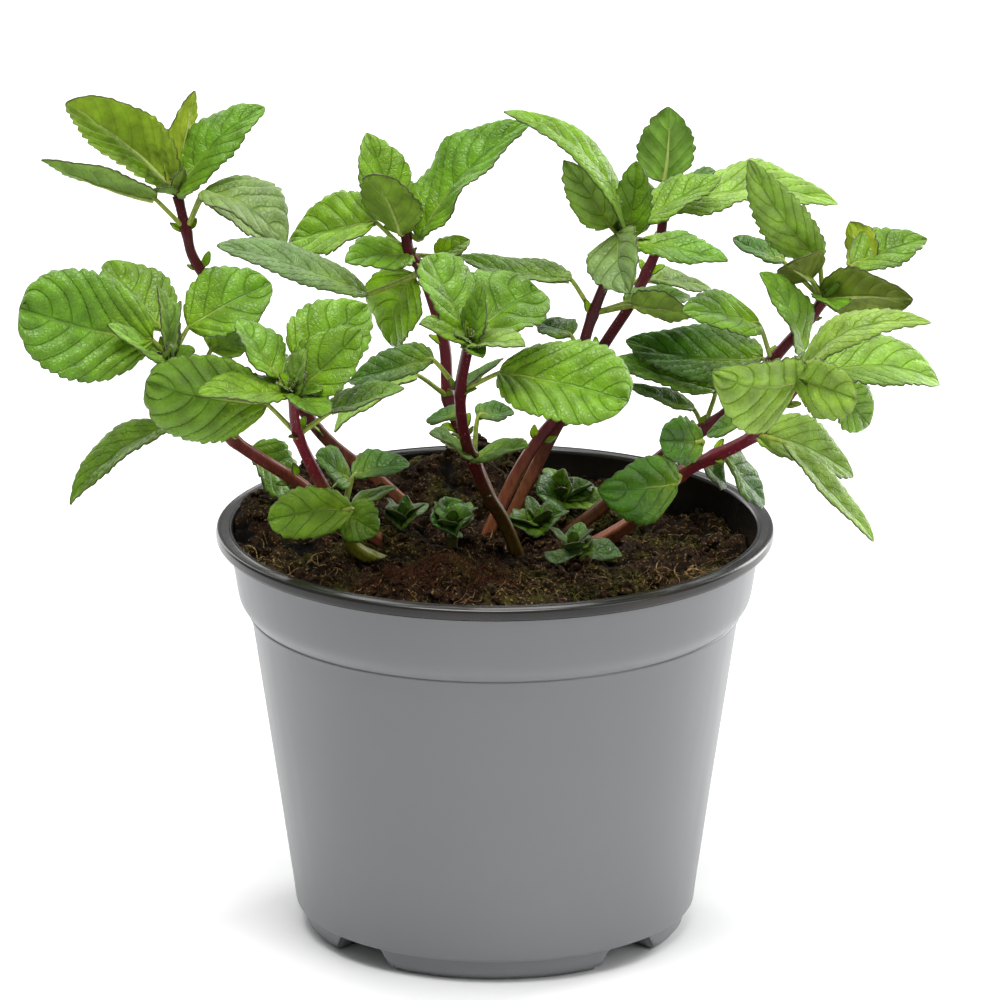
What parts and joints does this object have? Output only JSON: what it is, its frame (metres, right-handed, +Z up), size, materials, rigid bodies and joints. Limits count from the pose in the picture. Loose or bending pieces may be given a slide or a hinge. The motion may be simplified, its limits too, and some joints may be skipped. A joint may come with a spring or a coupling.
{
  "type": "potted mint plant",
  "caption": "Bushy mint plant with square stems and toothed leaves, growing in peat in a round tapered plastic nursery pot.",
  "frame": {"origin": "on the pot's axis, in the middle of the flat underside that it stands on", "axes": "+Z up along the pot's axis, +X to the plant's right as seen from the front, along its widest spread, -Y towards the front"},
  "size_m": [0.2125, 0.1306, 0.1931],
  "materials": {
    "pot": "satin",
    "soil": "matte",
    "stem": "satin",
    "leaf": "satin"
  },
  "bodies": {
    "root": {"pot": "pot", "soil": "soil", "leafy_stem_a": "leaf", "leafy_stem_b": "leaf", "leafy_stem_c": "leaf", "leafy_stem_d": "leaf", "leafy_stem_e": "leaf", "leafy_stem_f": "leaf", "leafy_stem_g": "leaf", "leafy_stem_h": "leaf", "leafy_stem_i": "leaf", "sprout_1": "leaf", "sprout_2": "leaf", "sprout_3": "leaf", "sprout_4": "leaf", "sprout_5": "leaf"}
  },
  "joints": []
}
